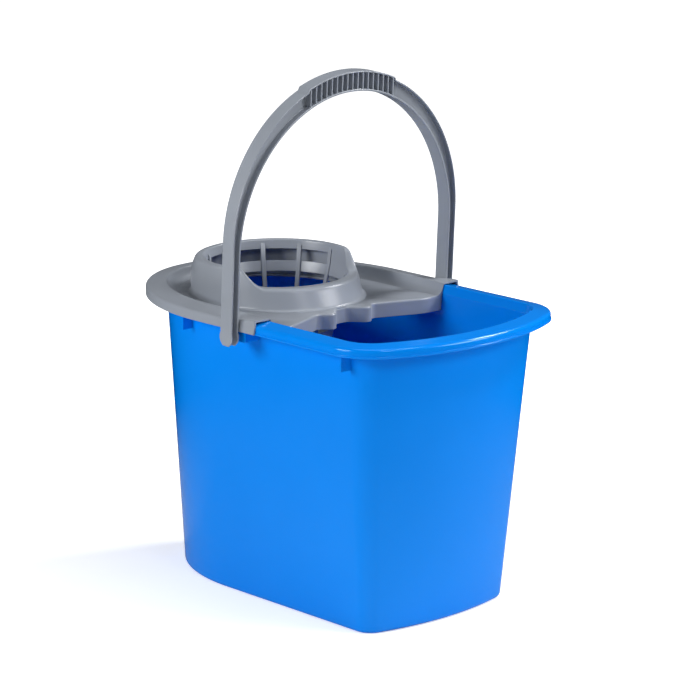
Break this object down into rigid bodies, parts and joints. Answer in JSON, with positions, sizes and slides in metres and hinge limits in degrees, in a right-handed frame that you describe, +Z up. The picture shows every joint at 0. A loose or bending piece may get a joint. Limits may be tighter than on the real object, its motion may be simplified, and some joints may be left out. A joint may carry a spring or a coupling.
{
  "type": "mop bucket",
  "caption": "Tapered mop bucket with a bowed pouring front, a ribbed strainer wringer clipped over the rear of its rim and an arched bail handle with a ribbed grip.",
  "frame": {"origin": "on the floor, half way along the bucket and half way across it", "axes": "+Z up; +X towards the open, bowed pouring end; +Y across the bucket, along the bail's pivots"},
  "size_m": [0.4349, 0.292, 0.5153],
  "materials": {
    "tub_plastic": "satin-gloss moulded polypropylene, bright blue",
    "wringer_plastic": "satin-gloss moulded polypropylene, cool grey",
    "bail_plastic": "satin-gloss moulded polypropylene, cool grey"
  },
  "bodies": {
    "tub": {"tub_shell": "tub_plastic", "tub_base": "tub_plastic"},
    "wringer": {"wringer_cover": "wringer_plastic", "wringer_hood": "wringer_plastic", "wringer_strainer": "wringer_plastic"},
    "bail": {"bail_arch": "bail_plastic", "bail_leg_left": "bail_plastic", "bail_leg_right": "bail_plastic", "bail_peg_left": "bail_plastic", "bail_peg_right": "bail_plastic"}
  },
  "joints": [
    {"name": "bail_swing", "type": "hinge", "parent": "tub", "child": "bail", "pos_m": [0.012, 0, 0.2743], "axis": [0, 1, 0], "range_deg": [-85.5, 76]},
    {"name": "wringer_lift", "type": "slide", "parent": "tub", "child": "wringer", "axis": [0, 0, 1], "range_m": [0, 0.05]}
  ]
}
